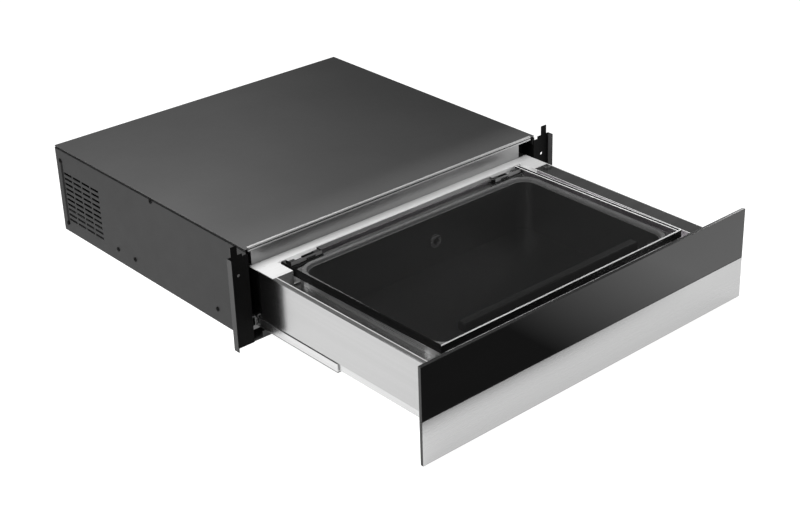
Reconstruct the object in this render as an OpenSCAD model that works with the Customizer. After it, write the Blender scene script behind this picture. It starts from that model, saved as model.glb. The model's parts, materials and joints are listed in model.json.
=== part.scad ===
// Built-in vacuum sealing drawer, shown pulled out. Millimetres, +Z up, the front faces -Y.
// The origin is the centre of the housing's underside.

/* [Housing] */
// Width of the housing over its side walls
body_w = 536; // [524:1:560]
// Depth of the housing from its front edge to its rear panel
body_d = 480; // [470:1:540]
// Height of the housing
body_h = 140; // [137:1:160]
// Thickness of the housing and drawer sheets
sheet = 1.2; // [1:0.1:1.5]
// Height of the shadow joint under the top cover
cover_seam = 1.6; // [1:0.1:3]
// Depth of the shadow joint under the top cover
seam_inset = 2; // [1.5:0.5:4]
// Height of the silver trim along the front of the top cover
trim_h = 6.5; // [5:0.5:8]
// Depth of the silver trim
trim_d = 3.5; // [3:0.5:4]
// How far the trim stands back from the housing front
trim_set = 2; // [1:0.5:2.5]
// Distance from the housing side to the end of the trim
trim_end = 6; // [3:0.5:10]
// Height of the lower housing screws
screw_z = 20.5; // [12:0.5:24]
// Height of the folded lip along the front of the base pan
pan_lip_h = 10; // [6:1:12]

/* [Vents] */
// Number of vent rows in each side wall
vent_rows = 10; // [6:1:11]
// Vent slots in one row
vent_cols = 4; // [2:1:5]
// Length of a vent slot
vent_slot = 21.6; // [16:0.4:24]
// Height of a vent slot
vent_slot_h = 4; // [3:0.5:5]
// Distance between vent rows
vent_pitch = 8.5; // [7:0.5:9.5]
// Distance between the centres of neighbouring slots in a row
vent_step = 24.7; // [24.5:0.1:27]
// Height of the lowest vent row
vent_z = 21; // [18:1:26]
// Distance from the rear panel to the last slot's centre
vent_rear = 29; // [26:1:40]

/* [Mounting brackets] */
// How far the folded lip stands forward of the housing
lip_d = 10; // [8:1:14]
// Thickness of the bracket sheet
bracket_t = 1.5; // [1:0.1:2]
// Height of the flange, without its tab
flange_h = 137; // [130:1:137]
// Width of the tab above the flange
tab_w = 10.5; // [8:0.5:12]
// Height of the tab above the flange
tab_h = 14; // [10:1:20]
// Radius of the screw hole
screw_hole_r = 2.3; // [2:0.1:3]
// Height of the screw hole
screw_hole_z = 107; // [95:1:120]
// Distance from the housing side to the screw hole
screw_hole_x = 14; // [11:0.5:16]

/* [Front panel] */
// Width of the front panel
panel_w = 595; // [590:1:600]
// Height of the front panel
panel_h = 136.5; // [130:0.5:150]
// Height of the steel strip below the black glass
steel_h = 61.5; // [50:0.5:80]
// Thickness of the front panel
panel_t = 5; // [4:0.5:8]
// Height of the front panel above the housing underside
panel_z = 1; // [0.5:0.5:3]
// Thickness of the plate that carries the front panel
plate_t = 1.5; // [1:0.1:2.5]
// Height of the front joint between glass and steel
panel_joint = 0.3; // [0.3:0.1:1]

/* [Drawer] */
// Depth of the compartment behind the lid, which holds the pump
comp_d = 102; // [98:1:120]
// Gap between the drawer side and the outside of the housing
side_gap = 10; // [10:0.5:14]
// Height of the drawer deck
deck_z = 109; // [106:0.5:112]
// Height of the lower edge of the drawer sides
side_z = 37; // [37:0.5:42]
// Free space behind the closed drawer
rear_gap = 7.8; // [7:0.1:20]
// Gap between the closed front panel and the bracket lips
close_gap = 0.5; // [0.4:0.1:2]
// How far the rear compartment stands back from the housing front
riser_in = 8; // [6:1:14]
// Gap between the rear compartment and the top cover
cover_gap = 4.8; // [3:0.2:6]
// Distance from the drawer side to the compartment cover on the left
cover_left = 3; // [2:0.5:6]
// Distance from the drawer side to the compartment cover on the right
cover_right = 14; // [3:0.5:16]
// Depth of the deck between the lid recess and the rear compartment
deck_run = 17; // [14:0.5:20]
// Width of the drawer's left flange beside the lid recess
flange_left = 7; // [5:0.5:12]
// Depth of the lid recess below the deck
recess_h = 20; // [18:0.5:22]
// Depth of the shelf between the front plate and the lid recess
front_shelf = 15.3; // [12:0.1:20]
// Height of the drawer floor above the housing underside
floor_z = 16; // [15:0.5:18]
// Gap between the drawer floor tray and the slides
floor_inset = 22; // [20:0.5:30]

/* [Slides] */
// Height of the outer slide rail
rail_h = 20; // [19:0.5:24]
// Width of the outer slide rail's channel
rail_w = 6; // [5:0.5:6]
// Thickness of the slide's flanges
rail_t = 3.2; // [3:0.1:3.6]
// Running gap between the slide members
rail_gap = 0.3; // [0.3:0.05:0.4]
// Height of the inner slide rail
inner_h = 10; // [9:0.5:11]
// Reach of the slide flanges under the drawer
rail_reach = 15.5; // [14:0.5:17]
// Free length behind the closed middle rail
rail_stop = 51; // [30:1:70]
// Distance from the open middle rail's front end to half the drawer's way
rail_nose = 8.7; // [0:0.1:12]
// Distance from the rear panel to the end of the outer rail
rail_back = 12; // [8:1:20]

/* [Lid] */
// Thickness of the lid, glass and frame together
lid_t = 12; // [10:0.5:12]
// Thickness of the lid glass
glass_t = 5.5; // [4:0.5:7]
// Thickness of the skirt round the lid
skirt_t = 1.5; // [1:0.5:2]
// Gap between the lid and the right wall of its recess
lid_gap = 8; // [6:0.5:10]
// Gap between the lid and the front wall of its recess
lid_front_gap = 26.7; // [20:0.1:30]
// Gap between the lid and the rear wall of its recess
lid_rear_gap = 4; // [4:0.5:7]
// Gap between the lid and the deck on its left, beside the hinge
shelf_gap = 2.5; // [2:0.5:5]
// Depth of the deck on the left, beside the hinge
shelf_d = 34; // [24:1:50]
// How far the closed lid stands above the deck
lid_proud = 1.4; // [1:0.1:3]
// How far the lid rests open, in degrees
lid_rest = 0.85; // [0.4:0.05:1]
// Radius of the hinge knuckles
knuckle_r = 5.5; // [4.5:0.1:5.5]
// Radius of the hinge pin
hinge_pin_r = 2; // [1.5:0.1:2.5]
// Running clearance on the hinge pin
pin_fit = 0.05; // [0.02:0.01:0.09]
// Length of a hinge along the rear edge of the lid
hinge_l = 50; // [46:1:80]
// Distance from the side of the lid to its hinge
hinge_in = 9; // [8:1:20]
// Length of one fixed hinge knuckle
knuckle_l = 9; // [7:0.5:11]
// Length of the spring beside the moving knuckle
spring_l = 14; // [10:1:16]
// Bevel along the top edges of the lid glass
lid_bevel = 1.2; // [0.6:0.1:2]

/* [Chamber] */
// Width of the chamber's flat rim
rim_w = 11.5; // [11:0.5:18]
// Distance from the lid edge to the outside of the rim
rim_inset = 3; // [2:0.5:5]
// Distance from the lid's front edge to the rim
rim_front = 3.5; // [3:0.5:16]
// Distance from the lid's rear edge to the rim
rim_rear = 14.5; // [14.5:0.5:18]
// Height of the rim above the recess floor
rim_h = 11; // [9:0.5:13]
// Sheet thickness of the chamber tub
tub_t = 1.5; // [1:0.1:2]
// Gap between the chamber tub and the drawer floor
tub_gap = 3.3; // [1:0.1:5]
// Corner radius of the chamber
tub_r = 22; // [16:1:30]
// Width of the rim gasket
gasket_w = 6; // [5:0.5:7]
// Height of the gap between the closed lid and the gasket
gasket_gap = 0.3; // [0.3:0.05:0.5]
// Length of the sealing bar
bar_l = 320; // [280:1:340]
// Width of the sealing bar
bar_w = 14; // [12:0.5:16]
// Height of the sealing bar
bar_h = 18; // [14:0.5:20]
// Distance from the chamber's front wall to the sealing bar
bar_front = 9; // [7:0.5:14]
// Lift of the sealing bar
bar_lift = 4; // [3:0.5:5]
// Distance between the two lift cylinders
lift_spread = 240; // [200:5:260]
// Radius of a lift rod
lift_rod_r = 4; // [3:0.5:5]
// Radius of a lift cylinder
lift_cyl_r = 8; // [7:0.5:9]
// Height of the silicone bar under the lid
counter_h = 6; // [4:0.5:7]

/* [Vacuum pump] */
// Outside radius of the pump cylinder
pump_r = 42; // [38:0.5:44]
// Length of the pump cylinder
pump_l = 62; // [50:1:70]
// Radius of the pump bore
pump_bore_r = 30; // [26:0.5:32]
// Offset of the rotor from the pump bore
pump_offset = 6; // [4:0.5:7]
// Radius of the motor shell
motor_r = 44; // [40:0.5:46]
// Length of the motor shell
motor_l = 118; // [90:1:125]
// Radius of the pump shaft
shaft_r = 6; // [5:0.5:7]
// Running clearance on the shafts
shaft_fit = 0.05; // [0.02:0.01:0.09]
// Height of the rubber feet under the pump
mount_h = 14; // [10:0.5:16]
// Radius of a rubber foot
mount_r = 8; // [6:0.5:9]
// Distance from the right drawer side to the motor
pump_right = 22; // [18:1:30]
// Thickness of the pump's end cover
end_t = 12; // [10:1:16]
// Distance from the ends of the motor shell to its rotor
rotor_end = 14; // [12:1:18]

/* [Electrics] */
// Side of the square cooling fan
fan_s = 60; // [54:1:66]
// Thickness of the cooling fan
fan_t = 25; // [22:0.5:28]
// Number of fan blades
fan_blades = 7; // [5:1:9]
// Radius of the fan hub
fan_hub_r = 13; // [10:0.5:16]
// Width of the transformer core
core_w = 66; // [56:1:70]
// Depth of the transformer core
core_d = 46; // [40:1:50]
// Height of the transformer core
core_h = 58; // [50:1:64]
// Width of the control board
board_w = 130; // [110:1:140]
// Height of the control board
board_h = 74; // [60:1:78]
// Gap between the transformer and the control board
board_gap = 14; // [8:1:20]
// Height of the control board above the drawer floor
board_up = 30; // [24:1:34]
// Width of the glass control strip beside the lid
strip_w = 26.8; // [24:0.1:28]
// Thickness of the glass control strip
strip_t = 3; // [2:0.1:4]
// Distance from the recess's rear wall to the control strip
strip_rear = 28; // [24:1:50]
// Radius of the power button
button_r = 5; // [4:0.5:6]
// Distance from the power button to the rear end of the strip
button_rear = 8; // [1:0.5:20]
// Distance from the strip's inner edge to the power button's centre
button_in = 12.3; // [8:0.1:18]
// Height of the power button above the strip
button_h = 5.5; // [5:0.5:9]
// Travel of the power button
button_travel = 2; // [1:0.5:3]
// Bore of the cable gland in the rear panel
gland_bore_r = 4.2; // [3.5:0.1:5]
// How far the cable gland stands behind the rear panel
gland_out = 12; // [8:1:16]

/* [Push latch] */
// Length of the push latch
latch_l = 52; // [44:1:60]
// Width of the push latch
latch_w = 30; // [26:1:36]
// Height of the push latch
latch_h = 11; // [10:0.5:12]
// Radius of the latch plunger
plunger_r = 3.5; // [3:0.1:4]
// Travel of the latch plunger
plunger_travel = 6; // [4:0.5:8]

/* [Fasteners] */
// Radius of a housing screw head
head_r = 3.4; // [3:0.1:4]
// Height of a housing screw head
head_h = 1.2; // [1:0.1:1.6]
// Radius of a screw shank
shank_r = 1.6; // [1.4:0.1:2]

/* [Hidden] */
$fn = 48;
cut = 1;
hf = -body_d / 2;
hr = body_d / 2;
hw = body_w / 2;
wall_x = hw - sheet;
flange_w = panel_w / 2 - hw;
riser_y = hf + riser_in;
rear_y = riser_y + comp_d;
travel = hr - sheet - rear_gap - rear_y;
open_out = travel + panel_t + lip_d + close_gap;
front_y = hf - open_out;
back_y = front_y + panel_t;
box_y = back_y + plate_t;
dw = hw - side_gap;
in_x = dw - sheet;
comp_z = body_h - sheet - cover_gap;
cover_y = hf + trim_set + trim_d;
deck_u = deck_z - sheet;
rec_floor = deck_z - recess_h;
rec_y1 = riser_y - deck_run;
rec_y0 = box_y + front_shelf;
rec_x0 = -dw + flange_left;
rec_x1 = dw - strip_w - sheet;
lid_hw = rec_x1 - lid_gap;
lid_y0 = rec_y0 + lid_front_gap;
lid_y1 = rec_y1 - lid_rear_gap;
lid_top = deck_z + lid_proud;
lid_bot = lid_top - lid_t;
glass_bot = lid_top - glass_t;
axis_y = lid_y1 - knuckle_r;
axis_z = lid_bot + knuckle_r;
notch_y = lid_y1 - 2 * knuckle_r - 1;
post_top = axis_z - 1.5 * knuckle_r - 1;
shelf_x = -lid_hw - shelf_gap;
shelf_y = rec_y1 - shelf_d;
hinge_x0 = -lid_hw + hinge_in;
hinge_x1 = hinge_x0 + hinge_l;
spring_x0 = hinge_x0 + knuckle_l + 0.4;
rim_x = lid_hw - rim_inset;
rim_y0 = lid_y0 + rim_front;
rim_y1 = lid_y1 - rim_rear;
rim_z = rec_floor + rim_h;
tub_x = rim_x - rim_w;
tub_y0 = rim_y0 + rim_w;
tub_y1 = rim_y1 - rim_w;
tub_z = floor_z + sheet + tub_gap;
tub_floor = tub_z + tub_t;
hole_w = tub_x + tub_t + 0.3;
floor_x = dw - floor_inset;
outer_x = wall_x - sheet;
rail_z = side_z - inner_h - rail_gap - 2 * rail_t - rail_gap - 2;
rail_in = outer_x - rail_w;
mid_z = rail_z + rail_t + 2 + rail_gap;
mid_top = mid_z + rail_t;
mid_x = rail_in - rail_gap;
inner_x = mid_x - 2.3 - rail_gap;
rail_flange = outer_x - rail_reach;
bar_y = tub_y0 + bar_front + bar_w / 2;
bar_top = rec_floor - 1;
bar_bot = bar_top - bar_h;
pump_y = (riser_y + rear_y) / 2;
pump_z = floor_z + sheet + mount_h + motor_r;
motor_x1 = in_x - pump_right;
motor_x0 = motor_x1 - motor_l;
pump_x0 = motor_x0 - pump_l;
rotor_r = pump_bore_r - pump_offset - 0.1;
pump_axis_z = pump_z;
bore_z = pump_z - pump_offset;
fan_x0 = -in_x + 0.3;
fan_z = side_z + sheet + fan_s / 2;
core_x = fan_x0 + fan_t + 42;
hole_x = hw + screw_hole_x;
strip_y1 = rec_y1 - strip_rear;
cover_x0 = -in_x + cover_left;
cover_x1 = in_x - cover_right;
strip_z = deck_z - strip_t;
button_x = rec_x1 + sheet + button_in;
button_y = strip_y1 - button_r - button_rear;
gland_x = 170;
gland_z = 60;
latch_y1 = hr - sheet - 8;
latch_y0 = latch_y1 - latch_l;
latch_z = sheet + latch_h / 2;
side_screws = [[-17, body_h - 6.3], [87, screw_z], [42, screw_z], [hf + 77, screw_z]];
strike_y = latch_y0 - plunger_travel - 0.6 - travel;
port_x = 28;
port_z = 62;
port_r = 7;

// A box between two opposite corners
module block(a, b) {
  translate(a) cube(b - a);
}

// A round rod between two places along X
module rod_x(x0, x1, y, z, r) {
  translate([x0, y, z]) rotate([0, 90, 0]) cylinder(r = r, h = x1 - x0);
}

// A round rod between two places along Y
module rod_y(x, y0, y1, z, r) {
  translate([x, y1, z]) rotate([90, 0, 0]) cylinder(r = r, h = y1 - y0);
}

// A flat rectangle with round corners, given by its edges
module round_rect(x0, x1, y0, y1, r) {
  translate([x0 + r, y0]) square([x1 - x0 - 2 * r, y1 - y0]);
  translate([x0, y0 + r]) square([x1 - x0, y1 - y0 - 2 * r]);
  for (x = [x0 + r, x1 - r], y = [y0 + r, y1 - r]) translate([x, y]) circle(r = r);
}

// A standing wall of round_rect outline
module round_wall(x0, x1, y0, y1, r, t, z0, z1) {
  translate([0, 0, z0]) linear_extrude(z1 - z0) difference() {
    round_rect(x0, x1, y0, y1, r);
    round_rect(x0 + t, x1 - t, y0 + t, y1 - t, r - t);
  }
}

// Left pieces are drawn at negative X, right pieces mirror them
module side(right) {
  if (right) mirror([1, 0, 0]) children();
  else children();
}

// The lid is drawn closed and rests slightly open
module at_lid() {
  translate([0, axis_y, axis_z]) rotate([-lid_rest, 0, 0]) translate([0, -axis_y, -axis_z]) children();
}

module base_pan() {
  color("dimgray") difference() {
    union() {
      block([-wall_x, hf, 0], [wall_x, hr - sheet, sheet]);
      block([-rail_flange, hf, sheet], [rail_flange, hf + sheet, pan_lip_h]);
      for (s = [0, 1]) side(s) block([-wall_x, hf, sheet], [-outer_x, hr - sheet, rail_z + rail_h]);
    }
    for (s = [0, 1], p = side_screws) side(s) rod_x(-wall_x - cut, -outer_x + cut, p[0], p[1], shank_r + 0.2);
  }
}

module vent_slots() {
  for (row = [0:vent_rows - 1], col = [0:vent_cols - 1])
    translate([-hw - cut, hr - vent_rear - vent_slot / 2 - col * vent_step, vent_z + row * vent_pitch])
      cube([sheet + 2 * cut, vent_slot, vent_slot_h]);
}

module side_wall(right) {
  color("dimgray") side(right) difference() {
    union() {
      block([-hw, hf, 0], [-wall_x, hr, body_h - sheet - cover_seam]);
      block([-wall_x, cover_y, body_h - 2 * sheet - cover_seam], [-wall_x + 7, hr - sheet, body_h - sheet - cover_seam]);
    }
    vent_slots();
    for (p = side_screws) rod_x(-hw - cut, -wall_x + cut, p[0], p[1], shank_r + 0.2);
  }
}
module side_wall_left() { side_wall(0); }
module side_wall_right() { side_wall(1); }

module rear_panel() {
  color("dimgray") difference() {
    block([-wall_x, hr - sheet, 0], [wall_x, hr, body_h - sheet - cover_seam]);
    rod_y(gland_x, hr - sheet - cut, hr + cut, gland_z, gland_bore_r + 3.1);
    for (i = [0:6], k = [0, 1]) translate([-150 + i * 26, hr - sheet - cut, 30 + k * 14])
      cube([20, sheet + 2 * cut, 4]);
  }
}

module top_cover() {
  color("dimgray") {
    difference() {
      block([-hw, hf, body_h - sheet], [hw, hr, body_h]);
      block([-hw + trim_end, hf - cut, body_h - sheet - cut], [hw - trim_end, cover_y, body_h + cut]);
    }
    z0 = body_h - sheet - cover_seam;
    for (s = [0, 1]) side(s)
      block([-hw + seam_inset, hf + sheet, z0], [-hw + seam_inset + sheet, hr - seam_inset, body_h - sheet]);
    block([-hw + seam_inset + sheet, hr - seam_inset - sheet, z0], [hw - seam_inset - sheet, hr - seam_inset, body_h - sheet]);
    block([-wall_x + 8, cover_y, body_h - trim_h], [wall_x - 8, cover_y + sheet, body_h - sheet]);
  }
}

module front_trim() {
  color("gainsboro") difference() {
    block([-hw + trim_end, cover_y - trim_d, body_h - trim_h], [hw - trim_end, cover_y, body_h]);
    block([-hw, cover_y - trim_d + sheet, body_h - trim_h - cut], [hw, cover_y + cut, body_h - sheet]);
  }
}

module mounting_bracket(right) {
  fx = -hw - flange_w;
  leg_x = -wall_x + bracket_t;
  tab_x = -hole_x - 10;
  color("black") side(right) difference() {
    union() {
      block([fx, hf - bracket_t, 0], [leg_x, hf, flange_h - 4]);
      block([fx, hf - bracket_t, 0], [fx + flange_w - 6, hf, flange_h]);
      block([fx, hf - lip_d, 0], [fx + bracket_t, hf - bracket_t, flange_h]);
      block([tab_x, hf - bracket_t, flange_h], [tab_x + tab_w, hf, flange_h + tab_h]);
      block([-wall_x, hf, rail_z + rail_h + 6], [leg_x, hf + 24, flange_h - 12]);
    }
    rod_y(-hole_x, hf - bracket_t - cut, hf + cut, screw_hole_z, screw_hole_r);
  }
}
module mounting_bracket_left() { mounting_bracket(0); }
module mounting_bracket_right() { mounting_bracket(1); }

module outer_rail(right) {
  color("silver") side(right) difference() {
    union() {
      block([-outer_x, hf, rail_z], [-rail_in, hr - sheet - rail_back, rail_z + rail_h]);
      block([-rail_in, hf, rail_z], [-rail_flange, hr - sheet - rail_back, rail_z + rail_t + 2]);
    }
    block([-outer_x + 1.4, hf - cut, rail_z + 6], [-rail_in - 1.4, hr, rail_z + rail_h - 1.4]);
  }
}
module outer_rail_left() { outer_rail(0); }
module outer_rail_right() { outer_rail(1); }

module housing_screws() {
  color("black") for (s = [0, 1], p = side_screws) side(s) {
    rod_x(-hw - head_h, -hw, p[0], p[1], head_r);
    rod_x(-hw, -outer_x, p[0], p[1], shank_r);
  }
}

module cable_gland() {
  color("black") difference() {
    union() {
      rod_y(gland_x, hr - sheet - 4, hr + gland_out - 4, gland_z, gland_bore_r + 3);
      rod_y(gland_x, hr, hr + 4, gland_z, gland_bore_r + 6);
      rod_y(gland_x, hr - sheet - 4, hr - sheet, gland_z, gland_bore_r + 5);
      rod_y(gland_x, hr + gland_out - 4, hr + gland_out, gland_z, gland_bore_r + 2);
    }
    rod_y(gland_x, hr - sheet - 5, hr + gland_out + cut, gland_z, gland_bore_r);
  }
}

module push_latch() {
  color("black") difference() {
    block([-latch_w / 2, latch_y0, sheet], [latch_w / 2, latch_y1, sheet + latch_h]);
    rod_y(0, latch_y0 - cut, latch_y1 - 8, latch_z, plunger_r + shaft_fit);
  }
}

module latch_plunger() {
  color("gray") {
    rod_y(0, latch_y0 - plunger_travel - 0.3, latch_y1 - 8 - plunger_travel - 0.5, latch_z, plunger_r);
  }
}

module mid_rail(right) {
  y0 = hf - travel / 2 + rail_nose;
  y1 = hr - sheet - rail_back - rail_stop - travel / 2;
  color("gainsboro") side(right) {
    block([-mid_x, y0, mid_z], [-mid_x + 2.3, y1, side_z - 0.4]);
    block([-mid_x, y0, mid_z], [-rail_flange, y1, mid_top]);
  }
}
module mid_rail_left() { mid_rail(0); }
module mid_rail_right() { mid_rail(1); }

module inner_rail(right) {
  color("gainsboro") side(right) difference() {
    block([-inner_x, box_y, side_z - inner_h], [-rail_flange, rear_y, side_z]);
    block([-inner_x + 1.4, box_y - cut, side_z - inner_h + 1.4], [-rail_flange - 1.4, rear_y + cut, side_z - 1.4]);
  }
}
module inner_rail_left() { inner_rail(0); }
module inner_rail_right() { inner_rail(1); }

module drawer_side(right) {
  color("silver") side(right) difference() {
    union() {
      block([-dw, box_y, side_z], [-in_x, rear_y, deck_u]);
      block([-in_x, box_y, side_z], [-floor_x, rear_y, side_z + sheet]);
    }
    if (!right) for (i = [0:4]) for (k = [0:4])
      rod_x(-dw - cut, -in_x + cut, pump_y - 24 + i * 12, fan_z - 24 + k * 12, 3);
  }
}
module drawer_side_left() { drawer_side(0); }
module drawer_side_right() { drawer_side(1); }

module drawer_rear_wall() {
  color("silver") block([-in_x, rear_y - sheet, side_z + sheet], [in_x, rear_y, deck_u]);
}

module front_plate() {
  color("dimgray") {
    block([-dw - 27, back_y, panel_z + 7], [dw + 27, box_y, panel_z + panel_h - 6]);
  }
}

module drawer_floor() {
  color("silver") difference() {
    block([-floor_x, box_y, floor_z], [floor_x, rear_y, side_z + sheet]);
    block([-floor_x + sheet, box_y + sheet, floor_z + sheet], [floor_x - sheet, rear_y - sheet, side_z + sheet + cut]);
  }
}

module rear_deck() {
  color("whitesmoke") block([-dw, rec_y1 + sheet, deck_u], [dw, riser_y, deck_z]);
}

module lid_recess() {
  color("silver") difference() {
    union() {
      block([-dw, box_y, deck_u], [rec_x1 + sheet, rec_y1 + sheet, deck_z]);
      block([rec_x1 + sheet, strip_y1, strip_z - sheet], [in_x, strip_y1 + sheet, deck_z]);
      block([rec_x1 + sheet, strip_y1, deck_u], [dw, rec_y1 + sheet, deck_z]);
      block([rec_x1 + sheet, box_y, strip_z - sheet], [in_x, strip_y1, strip_z]);
      block([in_x, box_y, deck_u], [dw, strip_y1, deck_z]);
      block([rec_x0 - sheet, rec_y0 - sheet, rec_floor - sheet], [rec_x1 + sheet, rec_y1 + sheet, deck_z]);
    }
    block([rec_x0, rec_y0, rec_floor], [rec_x1, shelf_y, deck_z + cut]);
    block([shelf_x, rec_y0, rec_floor], [rec_x1, rec_y1, deck_z + cut]);
    block([rec_x0 - sheet - cut, shelf_y + sheet, rec_floor - sheet - cut],
      [shelf_x - sheet, rec_y1 + sheet + cut, deck_u]);
    translate([0, 0, rec_floor - sheet - cut]) linear_extrude(sheet + 2 * cut)
      round_rect(-hole_w, hole_w, tub_y0 - tub_t - 0.3, tub_y1 + tub_t + 0.3, tub_r + tub_t + 0.3);
    translate([button_x, button_y, strip_z - sheet - cut]) cylinder(r = button_r - 1.4, h = sheet + 2 * cut);
  }
}

module compartment_cover() {
  color("silver") {
    block([cover_x0, riser_y, deck_u], [cover_x1, riser_y + sheet, comp_z]);
    block([cover_x0, riser_y + sheet, comp_z - sheet], [cover_x1, rear_y, comp_z]);
    block([cover_x0, riser_y + sheet, deck_u], [cover_x0 + sheet, rear_y, comp_z - sheet]);
    block([cover_x1 - sheet, riser_y + sheet, deck_u], [cover_x1, rear_y, comp_z - sheet]);
    block([cover_x0 + sheet, rear_y - sheet, deck_u], [cover_x1 - sheet, rear_y, comp_z - sheet]);
    block([-dw, riser_y, deck_u], [cover_x0, rear_y, deck_z]);
    block([cover_x1, riser_y, deck_u], [dw, rear_y, deck_z]);
  }
}

module chamber_tub() {
  ox = tub_x + tub_t;
  color("silver") difference() {
    union() {
      translate([0, 0, tub_z]) linear_extrude(rim_z - tub_z)
        round_rect(-ox, ox, tub_y0 - tub_t, tub_y1 + tub_t, tub_r + tub_t);
      translate([0, 0, rec_floor]) linear_extrude(rim_h)
        round_rect(-rim_x, rim_x, rim_y0, rim_y1, tub_r + rim_w);
    }
    translate([0, 0, tub_floor]) linear_extrude(rim_z)
      round_rect(-tub_x, tub_x, tub_y0, tub_y1, tub_r);
    translate([0, 0, rec_floor - cut]) linear_extrude(rim_h - tub_t + cut) difference() {
      round_rect(-rim_x + tub_t, rim_x - tub_t, rim_y0 + tub_t, rim_y1 - tub_t, tub_r + rim_w - tub_t);
      round_rect(-ox, ox, tub_y0 - tub_t, tub_y1 + tub_t, tub_r + tub_t);
    }
    rod_y(port_x, tub_y1 - cut, tub_y1 + tub_t + cut, port_z, port_r + 0.1);
  }
}

module chamber_gasket() {
  g = (rim_w - gasket_w) / 2;
  color("lightgray")
    round_wall(-rim_x + g, rim_x - g, rim_y0 + g, rim_y1 - g, tub_r + rim_w - g, gasket_w, rim_z, glass_bot - gasket_gap);
}

module lift_cylinders() {
  color("dimgray") for (s = [-1, 1]) translate([s * lift_spread / 2, bar_y, tub_floor]) difference() {
    cylinder(r = lift_cyl_r, h = bar_bot - tub_floor - 6);
    translate([0, 0, 4]) cylinder(r = lift_rod_r + shaft_fit, h = bar_bot);
  }
}

module seal_bar() {
  color("silver") difference() {
    union() {
      block([-bar_l / 2, bar_y - bar_w / 2, bar_bot], [bar_l / 2, bar_y + bar_w / 2, bar_top - 0.6]);
      for (s = [-1, 1]) translate([s * lift_spread / 2, bar_y, tub_floor + 4.3])
        cylinder(r = lift_rod_r, h = bar_bot - tub_floor - 4);
    }
    block([-bar_l / 2 - cut, bar_y - 2, bar_top - 2], [bar_l / 2 + cut, bar_y + 2, bar_top]);
  }
}

module heating_strip() {
  color("tan") block([-bar_l / 2 + 2, bar_y - 1.9, bar_top - 2], [bar_l / 2 - 2, bar_y + 1.9, bar_top]);
}

module air_port() {
  color("dimgray") difference() {
    union() {
      rod_y(port_x, tub_y1 + tub_t, tub_y1 + tub_t + 3, port_z, port_r + 5);
      rod_y(port_x, tub_y1 - 3, tub_y1, port_z, port_r + 3);
      rod_y(port_x, tub_y1, tub_y1 + tub_t + 13, port_z, port_r);
    }
    rod_y(port_x, tub_y1 - 4, tub_y1 + tub_t + 14, port_z, port_r - 2);
  }
}

hose_r = 8;
hose_bore = 5.6;
valve_x = -32;
valve_y = riser_y + 30;

module vacuum_hose() {
  y0 = tub_y1 + tub_t + 13;
  bend = 18;
  color("white") {
    difference() {
      union() {
        rod_y(port_x, y0, valve_y - bend, port_z, hose_r);
        translate([port_x - bend, valve_y - bend, port_z]) rotate_extrude(angle = 90)
          translate([bend, 0]) circle(r = hose_r);
        rod_x(valve_x + 28, port_x - bend, valve_y, port_z, hose_r);
      }
      rod_y(port_x, y0 - cut, valve_y - bend, port_z, hose_bore);
      translate([port_x - bend, valve_y - bend, port_z]) rotate_extrude(angle = 90)
        translate([bend, 0]) circle(r = hose_bore);
      rod_x(valve_x + 28 - cut, port_x - bend, valve_y, port_z, hose_bore);
    }
  }
}

module valve_block() {
  color("goldenrod") {
    difference() {
      union() {
        block([valve_x - 40, valve_y - 16, floor_z + sheet], [valve_x + 20, valve_y + 16, port_z + 12]);
        rod_x(valve_x + 20, valve_x + 28, valve_y, port_z, hose_r);
        rod_x(valve_x + 20, pump_x0 - end_t, valve_y + 10, port_z - 12, 6);
      }
      rod_x(valve_x + 10, valve_x + 28 + cut, valve_y, port_z, hose_bore);
    }
    for (x = [valve_x - 26, valve_x + 4]) translate([x, valve_y, port_z + 12]) cylinder(r = 11, h = 26);
  }
}

module pump_cylinder() {
  color("slategray") difference() {
    union() {
      rod_x(pump_x0, motor_x0, pump_y, pump_z, pump_r);
      block([pump_x0 + 6, pump_y - 36, floor_z + sheet + mount_h], [motor_x0 - 6, pump_y + 36, floor_z + sheet + mount_h + 12]);
    }
    rod_x(pump_x0 - cut, motor_x0 - 10, pump_y, bore_z, pump_bore_r);
    rod_x(pump_x0, motor_x0 + cut, pump_y, pump_axis_z, shaft_r + shaft_fit);
  }
}

module pump_end_cover() {
  color("slategray") difference() {
    rod_x(pump_x0 - end_t, pump_x0, pump_y, pump_z, pump_r);
    rod_x(pump_x0 - end_t + 4, pump_x0 + cut, pump_y, pump_axis_z, shaft_r + shaft_fit);
  }
}

module pump_rotor() {
  color("lightsteelblue") {
    rod_x(pump_x0 + 0.3, motor_x0 - 10.3, pump_y, pump_axis_z, rotor_r);
    rod_x(pump_x0 - end_t + 4.3, pump_x0 + 0.3, pump_y, pump_axis_z, shaft_r);
    rod_x(motor_x0 - 10.3, motor_x1 - 5, pump_y, pump_axis_z, shaft_r);
  }
}

module motor_rotor() {
  color("peru") difference() {
    rod_x(motor_x0 + rotor_end, motor_x1 - rotor_end, pump_y, pump_z, motor_r - 16);
    rod_x(motor_x0 + rotor_end - cut, motor_x1 - rotor_end + cut, pump_y, pump_z, shaft_r + 0.02);
  }
}

module motor_shell() {
  color("dimgray") difference() {
    union() {
      rod_x(motor_x0, motor_x1, pump_y, pump_z, motor_r);
      block([motor_x0 + 8, pump_y - 36, floor_z + sheet + mount_h], [motor_x1 - 8, pump_y + 36, floor_z + sheet + mount_h + 12]);
    }
    rod_x(motor_x0 + 4, motor_x1 - 8, pump_y, pump_z, motor_r - 15);
    rod_x(motor_x0 - cut, motor_x1 - 4, pump_y, pump_z, shaft_r + shaft_fit);
  }
}

module pump_mounts() {
  color("black") for (x = [pump_x0 + 16, motor_x1 - 20], y = [pump_y - 26, pump_y + 26])
    translate([x, y, floor_z + sheet]) cylinder(r = mount_r, h = mount_h);
}

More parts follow.
